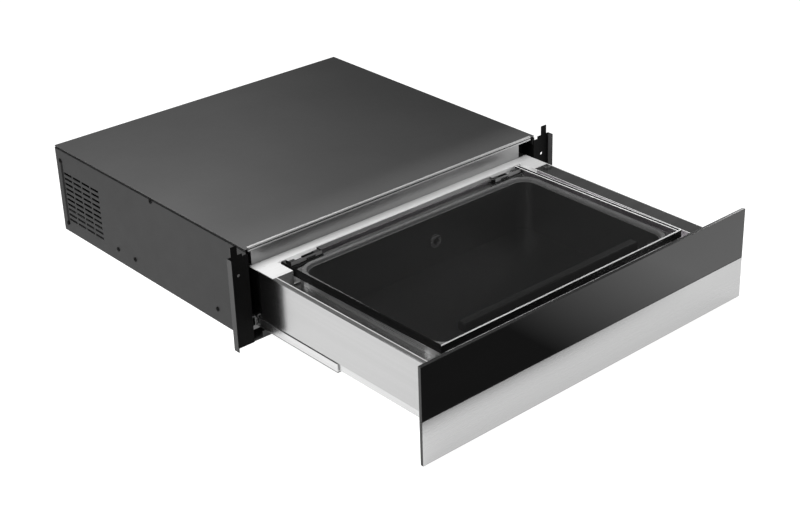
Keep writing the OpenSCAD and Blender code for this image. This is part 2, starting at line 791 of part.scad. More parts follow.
module transformer_core() {
  color("darkslategray") difference() {
    block([core_x, pump_y - core_d / 2, floor_z + sheet], [core_x + core_w, pump_y + core_d / 2, floor_z + sheet + core_h]);
    for (s = [0, 1]) {
      x = core_x + core_w / 6 + s * core_w / 2;
      block([x, pump_y - core_d, floor_z + sheet + 10], [x + core_w / 6, pump_y + core_d, floor_z + sheet + core_h - 10]);
    }
  }
}

module transformer_coil() {
  x0 = core_x + core_w / 6 + 0.4;
  x1 = core_x + core_w * 5 / 6 - 0.4;
  z0 = floor_z + sheet + 10.4;
  z1 = floor_z + sheet + core_h - 10.4;
  color("peru") difference() {
    block([x0, pump_y - core_d / 2 - 9, z0], [x1, pump_y + core_d / 2 + 9, z1]);
    block([core_x + core_w / 3 - 0.3, pump_y - core_d / 2 - 0.3, z0 - cut], [core_x + core_w * 2 / 3 + 0.3, pump_y + core_d / 2 + 0.3, z1 + cut]);
  }
}

board_x0 = core_x + core_w + board_gap;
board_y = rear_y - sheet - 8;

module control_board() {
  z0 = floor_z + sheet + board_up;
  color("darkgreen") {
    block([board_x0, board_y - 1.6, z0], [board_x0 + board_w, board_y, z0 + board_h]);
    block([board_x0 + 10, board_y - 17.6, z0 + 8], [board_x0 + 30, board_y - 1.6, z0 + 24]);
    block([board_x0 + 44, board_y - 13.6, z0 + 40], [board_x0 + 80, board_y - 1.6, z0 + 54]);
    for (x = [board_x0 + 5, board_x0 + board_w - 5], z = [z0 + 5, z0 + board_h - 5])
      rod_y(x, board_y, rear_y - sheet, z, 3);
  }
}

module control_strip() {
  color("dimgray") difference() {
    block([rec_x1 + sheet, box_y, strip_z], [in_x, strip_y1, deck_z]);
    translate([button_x, button_y, strip_z - cut]) cylinder(r = button_r + 0.3, h = strip_t + 2 * cut);
  }
}

module power_button() {
  color("black") {
    translate([button_x, button_y, strip_z + button_travel + 0.3]) cylinder(r = button_r, h = strip_t - button_travel - 0.3 + button_h);
    translate([button_x, button_y, strip_z - sheet - 4]) cylinder(r = button_r - 1.7, h = sheet + button_travel + 5);
  }
}

module fan_frame() {
  color("black") difference() {
    block([fan_x0, pump_y - fan_s / 2, fan_z - fan_s / 2], [fan_x0 + fan_t, pump_y + fan_s / 2, fan_z + fan_s / 2]);
    difference() {
      rod_x(fan_x0 - cut, fan_x0 + fan_t + cut, pump_y, fan_z, fan_s / 2 - 2);
      rod_x(fan_x0, fan_x0 + 4, pump_y, fan_z, fan_hub_r);
      for (a = [45, 135]) translate([fan_x0, pump_y, fan_z]) rotate([a, 0, 0])
        translate([0, -3, -fan_s / 2]) cube([3, 6, fan_s]);
    }
    rod_x(fan_x0 - cut, fan_x0 + 5, pump_y, fan_z, 2 + shaft_fit);
  }
}

module fan_rotor() {
  x0 = fan_x0 + 4.5;
  x1 = fan_x0 + fan_t - 0.5;
  color("dimgray") {
    rod_x(x0, x1, pump_y, fan_z, fan_hub_r);
    rod_x(fan_x0 + 0.5, x0, pump_y, fan_z, 2);
    for (i = [0:fan_blades - 1]) translate([0, pump_y, fan_z]) rotate([i * 360 / fan_blades, 0, 0])
      translate([(x0 + x1) / 2, 0, fan_hub_r - 1]) rotate([0, 0, 35])
        translate([-1, -9, 0]) cube([2, 18, fan_s / 2 - fan_hub_r - 3]);
  }
}

module front_glass() {
  color("black")
    block([-panel_w / 2, front_y, panel_z + steel_h + panel_joint], [panel_w / 2, back_y, panel_z + panel_h]);
}

module front_steel() {
  t = 1.2;
  color("silver") difference() {
    block([-panel_w / 2, front_y, panel_z], [panel_w / 2, back_y, panel_z + steel_h]);
    block([-panel_w / 2 + t, front_y + t, panel_z + t], [panel_w / 2 - t, back_y - t, panel_z + steel_h - t]);
    block([-panel_w / 2 + 20, front_y + t, panel_z + 12], [panel_w / 2 - 20, back_y + cut, panel_z + steel_h - 12]);
  }
}

module hinge_post(right) {
  x0 = hinge_x0;
  x2 = hinge_x1 - knuckle_l;
  color("black") side(right) difference() {
    union() {
      for (x = [x0, x2]) {
        block([x, axis_y - knuckle_r, rec_floor], [x + knuckle_l, axis_y + knuckle_r, axis_z]);
        rod_x(x, x + knuckle_l, axis_y, axis_z, knuckle_r);
      }
      block([-lid_hw, axis_y - knuckle_r, rec_floor], [x0, axis_y + knuckle_r, post_top]);
    }
    rod_x(x0 - cut, x2 + knuckle_l + cut, axis_y, axis_z, hinge_pin_r + pin_fit);
  }
}
module hinge_post_left() { hinge_post(0); }
module hinge_post_right() { hinge_post(1); }

module hinge_pins() {
  color("silver") for (s = [0, 1]) side(s)
    rod_x(hinge_x0 + 0.5, hinge_x1 - 0.5, axis_y, axis_z, hinge_pin_r);
}

module hinge_springs() {
  color("silver") for (s = [0, 1]) side(s) difference() {
    rod_x(spring_x0, spring_x0 + spring_l, axis_y, axis_z, knuckle_r - 1.3);
    rod_x(spring_x0 - cut, spring_x0 + spring_l + cut, axis_y, axis_z, hinge_pin_r + 0.3);
  }
}

// The cut-outs for the hinges in the rear edge of the lid, grown by g
module lid_notches(g = 0) {
  for (s = [0, 1]) side(s)
    block([hinge_x0 - 1 - g, notch_y - g, lid_bot - cut], [hinge_x1 + 1 + g, lid_y1 + cut, lid_top + cut]);
}

module lid_glass() {
  color([0.1, 0.1, 0.1, 0.6]) at_lid() difference() {
    block([-lid_hw, lid_y0, glass_bot], [lid_hw, lid_y1, lid_top]);
    lid_notches();
    translate([0, lid_y0, lid_top]) rotate([45, 0, 0])
      cube([2 * lid_hw + 2, lid_bevel * 1.414, lid_bevel * 1.414], center = true);
    for (s = [-1, 1]) translate([s * lid_hw, (lid_y0 + lid_y1) / 2, lid_top]) rotate([0, 45, 0])
      cube([lid_bevel * 1.414, lid_y1 - lid_y0 + 2, lid_bevel * 1.414], center = true);
  }
}

module lid_frame() {
  t = skirt_t;
  color("black") at_lid() difference() {
    block([-lid_hw, lid_y0, lid_bot], [lid_hw, lid_y1, glass_bot]);
    difference() {
      block([-lid_hw + t, lid_y0 + t, lid_bot - cut], [lid_hw - t, lid_y1 - t, glass_bot + cut]);
      lid_notches(t);
    }
    lid_notches();
  }
}

module hinge_leaf(right) {
  x0 = spring_x0 + spring_l + 0.4;
  x1 = hinge_x1 - knuckle_l - 0.4;
  r = knuckle_r - 0.3;
  color("gray") at_lid() side(right) difference() {
    union() {
      rod_x(x0, x1, axis_y, axis_z, r);
      block([x0, notch_y, axis_z - r + 1], [x1, axis_y, axis_z + r - 1]);
    }
    rod_x(x0 - cut, x1 + cut, axis_y, axis_z, hinge_pin_r + pin_fit);
  }
}
module hinge_leaf_left() { hinge_leaf(0); }
module hinge_leaf_right() { hinge_leaf(1); }

module counter_bar() {
  color("white") at_lid()
    block([-bar_l / 2, bar_y - bar_w / 2, lid_bot - counter_h], [bar_l / 2, bar_y + bar_w / 2, glass_bot]);
}

module lid_feet() {
  foot_z = rec_floor + 1.2;
  color("black") at_lid() for (s = [-1, 1])
    translate([s * (lid_hw - 7), lid_y0 + 6, foot_z]) cylinder(r = 4, h = glass_bot - foot_z);
}

module latch_striker() {
  color("silver") block([-8, strike_y - 2, sheet + 2], [8, strike_y, floor_z]);
}

base_pan();
side_wall_left();
side_wall_right();
rear_panel();
top_cover();
front_trim();
mounting_bracket_left();
mounting_bracket_right();
outer_rail_left();
outer_rail_right();
housing_screws();
cable_gland();
push_latch();
latch_plunger();
mid_rail_left();
mid_rail_right();
drawer_side_left();
drawer_side_right();
drawer_rear_wall();
front_plate();
drawer_floor();
rear_deck();
lid_recess();
compartment_cover();
chamber_tub();
chamber_gasket();
lift_cylinders();
air_port();
vacuum_hose();
valve_block();
pump_cylinder();
pump_end_cover();
motor_shell();
pump_mounts();
transformer_core();
transformer_coil();
control_board();
control_strip();
fan_frame();
inner_rail_left();
inner_rail_right();
front_glass();
front_steel();
hinge_post_left();
hinge_post_right();
hinge_pins();
hinge_springs();
latch_striker();
lid_glass();
lid_frame();
hinge_leaf_left();
hinge_leaf_right();
counter_bar();
lid_feet();
seal_bar();
heating_strip();
fan_rotor();
pump_rotor();
motor_rotor();
power_button();
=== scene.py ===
import json
import math
import bpy
import bmesh
from mathutils import Matrix, Vector


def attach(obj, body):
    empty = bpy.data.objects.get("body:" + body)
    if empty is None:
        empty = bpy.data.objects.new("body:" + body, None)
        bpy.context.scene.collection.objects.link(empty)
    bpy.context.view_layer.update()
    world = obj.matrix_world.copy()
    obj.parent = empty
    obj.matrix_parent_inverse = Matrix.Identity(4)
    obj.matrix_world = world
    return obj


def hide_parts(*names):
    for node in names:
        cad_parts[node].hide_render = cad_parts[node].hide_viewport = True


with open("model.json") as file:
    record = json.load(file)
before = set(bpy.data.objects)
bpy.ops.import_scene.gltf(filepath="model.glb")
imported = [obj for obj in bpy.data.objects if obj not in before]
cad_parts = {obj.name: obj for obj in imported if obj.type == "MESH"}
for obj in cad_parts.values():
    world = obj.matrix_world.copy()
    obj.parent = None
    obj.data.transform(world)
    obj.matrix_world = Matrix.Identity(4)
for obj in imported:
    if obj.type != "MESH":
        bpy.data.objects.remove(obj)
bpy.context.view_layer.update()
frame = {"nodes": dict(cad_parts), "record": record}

mm = 0.001
scene = bpy.context.scene
scene.view_settings.view_transform = "Standard"
scene.view_settings.look = "None"
print("stage: frame loaded")

# Camera fitted to the photograph; the photograph's straightened verticals are not reproduced
camera = {"place": (-1.32325, -1.80296, 1.09370), "turn": 43.374, "dip": 26.513, "roll": -0.508,
          "lens": 72.25, "shift": (-0.1, -0.04125), "sensor": 36, "clip": (0.05, 60)}


def addCamera(v):
    turn, dip = math.radians(v["turn"]), math.radians(v["dip"])
    ahead = Vector((math.cos(dip) * math.sin(turn), math.cos(dip) * math.cos(turn), -math.sin(dip)))
    right = Vector((math.cos(turn), -math.sin(turn), 0))
    basis = Matrix((right, right.cross(ahead), -ahead)).transposed()
    data = bpy.data.cameras.new("photo_camera")
    data.lens, data.sensor_width = v["lens"], v["sensor"]
    data.shift_x, data.shift_y = v["shift"]
    data.clip_start, data.clip_end = v["clip"]
    obj = bpy.data.objects.new("photo_camera", data)
    scene.collection.objects.link(obj)
    spin = Matrix.Rotation(math.radians(v["roll"]), 3, "Z")
    obj.matrix_world = Matrix.Translation(v["place"]) @ (basis @ spin).to_4x4()
    scene.camera = obj


addCamera(camera)


class Wire:
    def __init__(self, tree, end):
        self.tree, self.end = tree, end

    def put(self, kind, values, out=0, **props):
        node = self.tree.nodes.new(kind)
        for key, value in props.items():
            setattr(node, key, value)
        for key, value in values.items():
            if isinstance(value, Wire):
                self.tree.links.new(value.end, node.inputs[key])
            else:
                node.inputs[key].default_value = value
        return Wire(self.tree, node.outputs[out])

    def sum(self, way, a, b):
        return self.put("ShaderNodeMath", {0: a, 1: b}, operation=way)

    def __add__(self, other):
        return self.sum("ADD", self, other)

    def __mul__(self, other):
        return self.sum("MULTIPLY", self, other)

    def __rmul__(self, other):
        return self.sum("MULTIPLY", self, other)

    def limit(self, low, high, a=0.0, b=1.0):
        return self.put("ShaderNodeMapRange", {0: self, 1: low, 2: high, 3: a, 4: b},
                        interpolation_type="SMOOTHSTEP")

    def blend(self, a, b):
        return self.put("ShaderNodeMix", {0: self, 6: a, 7: b}, out=2, data_type="RGBA")

    def stretch(self, x, y, z):
        return self.put("ShaderNodeVectorMath", {0: self, 1: (x, y, z)}, operation="MULTIPLY")

    def noise(self, scale, detail=2.0, rough=0.5):
        return self.put("ShaderNodeTexNoise", {"Vector": self, "Scale": scale, "Detail": detail,
                                               "Roughness": rough})

    def cells(self, scale, out="Distance", feature="F1"):
        return self.put("ShaderNodeTexVoronoi", {"Vector": self, "Scale": scale}, out=out, feature=feature)

    def axis(self, index):
        return self.put("ShaderNodeSeparateXYZ", {0: self}, out=index)


class Finish:
    def __init__(self, name, slot, **fixed):
        self.mat = bpy.data.materials.new(name)
        self.mat.use_nodes = True
        self.slot = slot
        self.tree = self.mat.node_tree
        self.shader = self.tree.nodes["Principled BSDF"]
        for key, value in fixed.items():
            self.shader.inputs[key.replace("_", " ")].default_value = value
        place = self.tree.nodes.new("ShaderNodeTexCoord")
        self.here = Wire(self.tree, place.outputs["Object"])
        finishes[name] = self

    def drive(self, **wires):
        for key, wire in wires.items():
            self.tree.links.new(wire.end, self.shader.inputs[key.replace("_", " ")])

    def relief(self, height, strength, depth):
        bump = self.here.put("ShaderNodeBump", {"Height": height, "Strength": strength, "Distance": depth})
        self.tree.links.new(bump.end, self.shader.inputs["Normal"])


finishes = {}


def grey(v, warm=0.0):
    return (v * (1 + warm), v, v * (1 - warm), 1)


def painted(name, slot, shade, rough, peel=0.12, fleck=0.05, level=0.5):
    f = Finish(name, slot, Metallic=0.0, Specular_IOR_Level=level)
    cloud = f.here.noise(6, 3)
    fine = f.here.noise(2600, 1)
    dust = f.here.noise(40, 5, 0.7)
    tone = (cloud * 0.7 + fine * 0.3).limit(0.3, 0.7)
    f.drive(Base_Color=tone.blend(grey(shade * (1 - fleck)), grey(shade * (1 + fleck))))
    f.drive(Roughness=(dust * 0.16 + (rough - 0.08)))
    f.relief(f.here.noise(900, 2) * 0.6 + fine * 0.4, peel, 0.0003)
    return f


def brushed(name, slot, shade, rough, grain, deep=0.1, warm=0.0, metal=1.0, wear=0.05, vary=1.0):
    f = Finish(name, slot, Metallic=metal)
    lines = f.here.stretch(*grain)
    strokes = lines.noise(1.0, 4, 0.7)
    wide = lines.stretch(0.2, 0.2, 0.2).noise(1.0, 2)
    marks = f.here.noise(22, 4, 0.65)
    tone = (strokes * 0.6 + wide * 0.4).limit(0.3, 0.7)
    f.drive(Base_Color=tone.blend(grey(shade * (1 - 0.07 * vary), warm),
                                  grey(shade * (1 + 0.05 * vary), warm)))
    f.drive(Roughness=strokes.limit(0.25, 0.75, rough - 0.05 * vary, rough + 0.06 * vary)
            + marks.limit(0.5, 0.8, 0.0, wear))
    f.relief(strokes, deep, 0.0002)
    return f


def moulded(name, slot, shade, rough, grain=1800, deep=0.25, warm=0.0, level=0.5):
    f = Finish(name, slot, Metallic=0.0, Specular_IOR_Level=level)
    pits = f.here.noise(grain, 3)
    wear = f.here.noise(55, 4, 0.7)
    f.drive(Base_Color=wear.limit(0.35, 0.75).blend(grey(shade, warm), grey(shade * 1.25, warm)))
    f.drive(Roughness=pits.limit(0.3, 0.7, rough - 0.05, rough + 0.07))
    f.relief(pits, deep, 0.0003)
    return f


def glossy(name, slot, shade, level, rough=0.04, smear=0.05, **fixed):
    f = Finish(name, slot, Metallic=0.0, Specular_IOR_Level=level, **fixed)
    wipe = f.here.stretch(1, 5, 5).noise(9, 4, 0.6)
    prints = f.here.noise(60, 3)
    f.drive(Base_Color=wipe.limit(0.3, 0.8).blend(grey(shade), grey(shade * 1.3)))
    f.drive(Roughness=(wipe * prints).limit(0.2, 0.6, rough, rough + smear))
    return f


shades = {"cover": 0.05, "bracket": 0.003, "side": 0.38, "deck": 0.43, "recess": 0.74, "riser": 0.27,
          "trim": 0.36, "tub": 0.2, "wall": 0.16, "front": 0.47, "rail": 0.5}
painted("housing paint", "housing_paint", shades["cover"], 0.45, level=0.1)
# A darker copy of the housing paint for the side walls and the rear panel: painted shade.
painted("side paint", "housing_paint", 0.025, 0.45, level=0.1)
# Black paint of the brackets, screws, hinge leaves and front plate; also painted shade in the side wall
# seams, in the trim's groove and along its lower edge, and on the base pan's sides behind the vents.
painted("bracket paint", "bracket_paint", shades["bracket"], 0.45, 0.08, level=0.03)
painted("core varnish", "core_iron", 0.03, 0.45, 0.3)
# Aluminium of the front trim; also a painted highlight on the bead of the lid recess.
brushed("trim aluminium and bead highlight", "trim_aluminium", shades["trim"], 0.5, (6, 900, 900), 0.03, metal=0.4, wear=0.02)
brushed("side steel", "drawer_steel", shades["side"], 0.16, (900, 3, 900), 0.01, wear=0.01, vary=0.5)
brushed("deck satin", "drawer_steel", shades["deck"], 0.5, (5, 900, 900), 0.02, metal=0.2, wear=0.02)
brushed("recess steel", "drawer_steel", shades["recess"], 0.2, (5, 900, 900), 0.02, wear=0.02)
brushed("riser steel", "drawer_steel", shades["riser"], 0.36, (2, 500, 500), 0.01, wear=0.0, vary=0.4)
# Dark copy of the drawer steel: painted shade on the lid recess's walls and the floor under the lid, and on
# the tub's outer band.
brushed("wall steel", "drawer_steel", shades["wall"], 0.3, (900, 5, 900), 0.01, wear=0.0)
# Darkened copy of the drawer steel: painted shade of the chamber tub's deep inside.
brushed("tub steel", "drawer_steel", shades["tub"], 0.42, (3, 400, 400), 0.0, wear=0.0, vary=0.3)
brushed("front steel", "front_steel", shades["front"], 0.26, (2, 1500, 1500), 0.0, wear=0.0, vary=0.35)
# Dark copy of the slide steel: painted shade, on the outer rails in the brackets' shadow and on the middle
# rails' lower lip.
brushed("oiled steel", "slide_steel", 0.14, 0.3, (900, 6, 900), 0.03)
brushed("rail steel", "slide_steel", shades["rail"], 0.22, (900, 6, 900), 0.02, wear=0.01)
brushed("cast aluminium", "cast_aluminium", 0.5, 0.5, (350, 350, 350), 0.5)
brushed("machined aluminium", "machined_aluminium", 0.66, 0.28, (40, 900, 900), 0.1)
brushed("nozzle brass", "nozzle_brass", 0.5, 0.3, (300, 300, 30), 0.1, 0.32)
brushed("copper winding", "copper_winding", 0.42, 0.35, (1600, 20, 20), 0.6, 0.5)
brushed("polished steel", "polished_steel", 0.7, 0.14, (60, 60, 60), 0.03)
moulded("black plastic", "black_plastic", 0.012, 0.38)
moulded("black rubber", "black_rubber", 0.014, 0.62, 900, 0.35)
moulded("tape", "tape_tan", 0.3, 0.6, 700, 0.5, 0.3)
# Black of the lid frame; also painted shade on the front and side faces of the lid glass.
moulded("lid black", "black_plastic", 0.003, 0.4, level=0.02)
glossy("black glass", "black_glass", 0.002, 0.66, 0.03, 0.02)
glossy("strip glass", "strip_glass", 0.024, 0.3, 0.08)
glossy("glass edge", "black_glass", 0.012, 0.3, 0.25, 0.06)
# The lid glass's bright edges and lines: a painted highlight.
glossy("lid edge", "smoked_glass", 0.42, 0.5, 0.12, 0.05)
glossy("lid glass", "smoked_glass", 0.004, 0.15, 0.03, 0.03, Alpha=0.45)


def zinc():
    f = Finish("slide steel", "slide_steel", Metallic=1.0)
    spangle = f.here.cells(160, "Color")
    fine = f.here.stretch(300, 12, 300).noise(1.0, 3)
    tone = (spangle.axis(0) * 0.5 + fine * 0.5).limit(0.2, 0.8)
    f.drive(Base_Color=tone.blend(grey(0.62), grey(0.74)))
    f.drive(Roughness=tone.limit(0.0, 1.0, 0.26, 0.38))
    f.relief(fine, 0.06, 0.0002)


def silicone():
    f = Finish("clear silicone", "clear_silicone", Metallic=0.0)
    fog = f.here.noise(120, 3)
    f.drive(Base_Color=fog.limit(0.3, 0.7).blend(grey(0.7), grey(0.8)))
    f.drive(Roughness=fog.limit(0.3, 0.7, 0.3, 0.42))
    f.relief(f.here.noise(700, 2), 0.1, 0.0002)


def board():
    f = Finish("board", "board_green", Metallic=0.0)
    tracks = f.here.cells(220, "Distance", "DISTANCE_TO_EDGE")
    f.drive(Base_Color=tracks.limit(0.0, 0.12).blend((0.03, 0.13, 0.06, 1), (0.012, 0.06, 0.03, 1)))
    f.drive(Roughness=f.here.noise(300, 2).limit(0.3, 0.7, 0.25, 0.4))
    f.relief(tracks, 0.3, 0.0002)


# The steel rim, lit and seen through the lid glass, painted onto the lid frame's rear and right bars as a
# grey-purple band with highlight stripes: painted light.
def paintedRimBand():
    f = Finish("lid band of painted rim light", "black_plastic", Metallic=0.0, Specular_IOR_Level=0.5)
    highlightStripe = f.here.stretch(0.4, 1, 1).noise(14, 3)
    f.drive(Base_Color=highlightStripe.limit(0.3, 0.7).blend((0.24, 0.22, 0.24, 1), (0.42, 0.39, 0.42, 1)))
    f.drive(Roughness=f.here.noise(90, 2).limit(0.3, 0.7, 0.2, 0.3))


zinc()
silicone()
board()
paintedRimBand()
print("stage: materials")


# Distance in mm within which vertices are merged
weld = 0.002


def onlyVerts(geometry):
    return [part for part in geometry if isinstance(part, bmesh.types.BMVert)]


# A mesh in the making, in mm, new or from a CAD node
class Shape:
    def __init__(self, node=None):
        self.bm = bmesh.new()
        if node:
            self.bm.from_mesh(frame["nodes"][node].data)
            bmesh.ops.scale(self.bm, vec=(1000, 1000, 1000), verts=self.bm.verts)
            bmesh.ops.remove_doubles(self.bm, verts=self.bm.verts, dist=weld)
            bmesh.ops.dissolve_limit(self.bm, angle_limit=math.radians(0.6), verts=self.bm.verts,
                                     edges=self.bm.edges)
            for face in self.bm.faces:
                face.material_index = 0

    def rod(self, a, b, r, n):
        a, b = Vector(a), Vector(b)
        turn = (b - a).to_track_quat("Z", "Y").to_matrix().to_4x4()
        bmesh.ops.create_cone(self.bm, cap_ends=True, segments=n, radius1=r, radius2=r,
                              depth=(b - a).length, matrix=Matrix.Translation((a + b) / 2) @ turn)

    def cut(self, place, way):
        parts = self.bm.verts[:] + self.bm.edges[:] + self.bm.faces[:]
        bmesh.ops.bisect_plane(self.bm, geom=parts, dist=0.001, plane_co=place, plane_no=way)
        return self

    def lathe(self, outline, centre, axis, n=48):
        verts = [self.bm.verts.new(point) for point in outline]
        edges = [self.bm.edges.new(pair) for pair in zip(verts, verts[1:])]
        bmesh.ops.spin(self.bm, geom=verts + edges, cent=centre, axis=axis, angle=math.tau,
                       steps=n, use_merge=True)
        bmesh.ops.remove_doubles(self.bm, verts=self.bm.verts, dist=weld)

    def coil(self, start, centre, axis, wire, turns, pitch):
        ring = bmesh.ops.create_circle(self.bm, segments=8, radius=wire, cap_ends=False,
                                       matrix=Matrix.Translation(start))["verts"]
        edges = list({edge for vert in ring for edge in vert.link_edges})
        steps = 20 * turns
        bmesh.ops.spin(self.bm, geom=ring + edges, cent=centre, axis=axis, angle=math.tau * turns,
                       steps=steps, dvec=Vector(axis) * pitch * turns / steps)
        bmesh.ops.holes_fill(self.bm, edges=[edge for edge in self.bm.edges if edge.is_boundary], sides=8)

    def extrude(self, outline, way):
        face = self.bm.faces.new([self.bm.verts.new(point) for point in outline])
        made = bmesh.ops.extrude_face_region(self.bm, geom=[face], use_keep_orig=True)["geom"]
        bmesh.ops.translate(self.bm, vec=way, verts=onlyVerts(made))

    def soften(self, width, steps=2, over=28, among=None):
        self.bm.normal_update()
        sharp = [e for e in self.bm.edges if len(e.link_faces) == 2
                 and e.calc_face_angle(0) > math.radians(over) and (among is None or among(e))]
        bmesh.ops.bevel(self.bm, geom=sharp, offset=width, offset_type="OFFSET", segments=steps, profile=0.5,
                        affect="EDGES", clamp_overlap=True)
        return self

    def done(self, name, mats, body, *nodes):
        bmesh.ops.recalc_face_normals(self.bm, faces=self.bm.faces)
        bmesh.ops.scale(self.bm, vec=(mm, mm, mm), verts=self.bm.verts)
        data = bpy.data.meshes.new(name)
        self.bm.to_mesh(data)
        self.bm.free()
        mats = [mats] if isinstance(mats, str) else mats
        for key in mats:
            data.materials.append(finishes[key].mat)
        for face in data.polygons:
            face.use_smooth = True
        data.set_sharp_from_angle(angle=math.radians(32))
        obj = bpy.data.objects.new(name, data)
        scene.collection.objects.link(obj)
        flat = obj.modifiers.new("flat", "WEIGHTED_NORMAL")
        flat.keep_sharp, flat.weight = True, 100
        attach(obj, body)
        if nodes:
            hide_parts(*nodes)
        return obj


bodyOf = {node: body for body, nodes in frame["record"]["behaviour"]["bodies"].items() for node in nodes}


# Edges in mm from which a sheet's edge is rounded, so that the rims of small holes stay as they are
longEdge = 40


def long(edge):
    return edge.calc_length() > longEdge


def dress(node, mat, width, steps=2, paint=None, mats=None, first=None, among=None):
    shape = Shape(node)
    if first:
        first(shape)
    shape.soften(width, steps, among=among)
    if paint:
        shape.bm.normal_update()
        paint(shape)
    shape.done(node + "_shell", mats or mat, bodyOf[node], node)


# Finish of each plain CAD node and the rounding of its edges in mm; None leaves the CAD mesh
looks = {
    # The outer rails take the dark rail steel as painted shade.
    "top_cover": ("housing paint", 0.45), "outer_rail_left": ("oiled steel", 0.3),
    "outer_rail_right": ("oiled steel", 0.3), "cable_gland": ("black plastic", 0.6),
    "push_latch": ("black plastic", 0.8), "latch_plunger": ("black plastic", 0.5),
    "drawer_rear_wall": ("side steel", 0.3), "front_plate": ("bracket paint", 0.3),
    "drawer_floor": ("side steel", 0.5), "rear_deck": ("deck satin", 0.25),
    "compartment_cover": ("riser steel", 0.5),
    "lift_cylinders": ("machined aluminium", 0.6), "air_port": ("machined aluminium", 0.5),
    "vacuum_hose": ("clear silicone", None), "valve_block": ("nozzle brass", 0.6),
    "pump_cylinder": ("cast aluminium", 1.5), "pump_end_cover": ("cast aluminium", 1.5),
    "motor_shell": ("core varnish", 1.5), "pump_mounts": ("black rubber", 1.2),
    "transformer_core": ("core varnish", 0.5), "transformer_coil": ("copper winding", 2.5),
    "control_board": ("board", 0.3), "fan_frame": ("black plastic", 0.6),
    "inner_rail_left": ("rail steel", 0.3), "inner_rail_right": ("rail steel", 0.3),
    "hinge_pins": ("polished steel", 0.4),
    "latch_striker": ("slide steel", 0.4), "counter_bar": ("black rubber", 1.5),
    "seal_bar": ("machined aluminium", 0.5), "heating_strip": ("tape", 0.3),
    "fan_rotor": ("black plastic", 0.4), "pump_rotor": ("polished steel", 0.5),
    "motor_rotor": ("copper winding", 1.5), "hinge_post_left": ("black plastic", 0.7),
    "hinge_post_right": ("black plastic", 0.7), "hinge_leaf_left": ("bracket paint", 0.5),
    "hinge_leaf_right": ("bracket paint", 0.5), "lid_feet": ("black rubber", 0.8),
    "chamber_gasket": ("clear silicone", 1.2),
    "control_strip": ("strip glass", 0.4),
}
for node, (mat, width) in looks.items():
    if width is None:
        data = frame["nodes"][node].data
        data.materials.clear()
        data.materials.append(finishes[mat].mat)
    else:
        dress(node, mat, width)


# How far a face's normal turns before it counts as facing an axis
facing = 0.9

# Where the finish of the lid recess changes, in mm
recess = {"rear": -283, "front": -284, "margin": -251, "wall": -215, "outer": -257.2, "bead": (-252.8, -249),
          "top": 107, "beadTop": 107.6, "strip": 229}


def cutRecess(shape):
    shape.cut((0, recess["rear"], 0), (0, 1, 0)).cut((recess["strip"], 0, 0), (1, 0, 0))
    shape.cut((recess["bead"][0], 0, 0), (1, 0, 0))


# Materials: 0 deck satin, 1 recess steel, 2 wall steel as painted shade on the walls and the floor under the
# lid, 3 trim aluminium as a painted highlight on the bead
def paintRecess(shape):
    v = recess
    for face in shape.bm.faces:
        x, y, z = face.calc_center_median()
        left = x < v["margin"] and y < v["front"]
        wall = x < v["wall"] and z < v["top"] or x < v["outer"] and face.normal.x < -0.2
        bead = v["bead"][0] < x < v["bead"][1] and z > v["beadTop"] and y < v["front"]
        deck = y > v["rear"] or z > v["top"] and x > v["strip"]
        face.material_index = 3 if bead else 2 if wall else 1 if left else 0 if deck else 1


# Painted highlight: the bright double line along the right edge of the lid glass
lidLines = (213.8, 215.8, 219.6)


def cutLid(shape):
    for x in lidLines:
        shape.cut((x, 0, 0), (1, 0, 0))


# Materials: 0 glass, 1 bright edge as painted highlight on the upper bevels, the rear face and the right edge
# lines, 2 black as painted shade on the front and side faces
def paintLid(shape):
    slant = 0.3
    for face in shape.bm.faces:
        n, x = face.normal, face.calc_center_median().x
        if n.z > facing and (lidLines[0] < x < lidLines[1] or x > lidLines[2]):
            face.material_index = 1
            continue
        bright = n.y > facing or n.z > slant and n.x > -slant
        face.material_index = 0 if n.z > facing or n.z < -slant else 1 if bright else 2


# The bars of the lid frame that carry the painted light of the steel rim seen through the glass: the rear one
# and the right one
lidBars = {"rear": -259, "half": 221, "right": 217, "front": -560}


def paintFrame(shape):
    v = lidBars
    for face in shape.bm.faces:
        x, y, z = face.calc_center_median()
        rear, right = y > v["rear"] and abs(x) < v["half"], x > v["right"] and y > v["front"]
        face.material_index = 1 if rear or right else 0


def paintFront(shape):
    for face in shape.bm.faces:
        face.material_index = 0 if face.normal.y < -facing else 1


# The rim of the chamber tub, in the bright deck satin as painted light, and the part of its outside that
# shows under the rim, in the dark wall steel as painted shade
tub = {"rim": 99, "band": 88, "half": 218, "rear": -268.5, "front": -563.5}


def paintTub(shape):
    v = tub
    for face in shape.bm.faces:
        x, y, z = face.calc_center_median()
        outside = abs(x) > v["half"] or y > v["rear"] or y < v["front"]
        face.material_index = 1 if z > v["rim"] else 2 if z > v["band"] and outside else 0


dress("chamber_tub", "tub steel", 1.0, 2, paintTub, ["tub steel", "deck satin", "wall steel"])

# Height of the lower lip of the middle rails, painted dark as shade
railLip = 1.6


def paintRail(shape):
    top = min(vert.co.z for vert in shape.bm.verts) + railLip
    shape.cut((0, 0, top), (0, 0, 1))
    for face in shape.bm.faces:
        face.material_index = 1 if face.calc_center_median().z < top else 0


# Painted shadow of the side walls' seams, in black: below the cover, and the groove beside the rear flange,
# between its two screws
seamShadows = {"top": 135.4, "rear": (222.8, 229.5), "shadedGroove": (14, 118), "outside": 267.5}


def cutSeamShadows(shape):
    for z in (seamShadows["top"], *seamShadows["shadedGroove"]):
        shape.cut((0, 0, z), (0, 0, 1))
    for y in seamShadows["rear"]:
        shape.cut((0, y, 0), (0, 1, 0))


